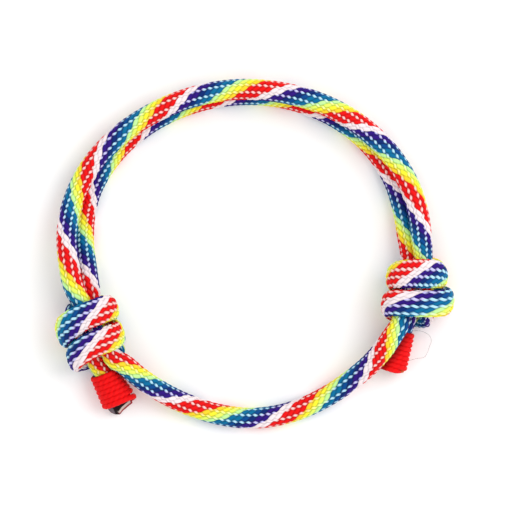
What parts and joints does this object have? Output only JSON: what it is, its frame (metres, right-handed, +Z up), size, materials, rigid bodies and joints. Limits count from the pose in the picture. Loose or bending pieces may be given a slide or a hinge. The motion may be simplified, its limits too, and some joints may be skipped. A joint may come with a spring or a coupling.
{
  "type": "string bracelet",
  "caption": "Adjustable bracelet of braided rainbow cord, tied into a loop by sliding barrel knots, with thread-whipped cord ends.",
  "frame": {"origin": "middle of the loop's outline on the table that it lies on", "axes": "+Z up from the table, +X from the left knot towards the right knot, +Y towards the doubled side of the loop"},
  "size_m": [0.0798, 0.0698, 0.0118],
  "materials": {
    "braided_cord": "fine round braid of matt polyester yarn, rainbow and white carriers in pairs",
    "whipping_thread": "twisted red sewing thread, slightly glossy"
  },
  "bodies": {
    "root": {"inner_strand": "braided_cord", "outer_strand": "braided_cord", "front_strand": "braided_cord", "left_knot": "braided_cord", "right_knot": "braided_cord", "left_tail": "braided_cord", "right_tail": "braided_cord", "left_whipping": "whipping_thread", "right_whipping": "whipping_thread"}
  },
  "joints": []
}
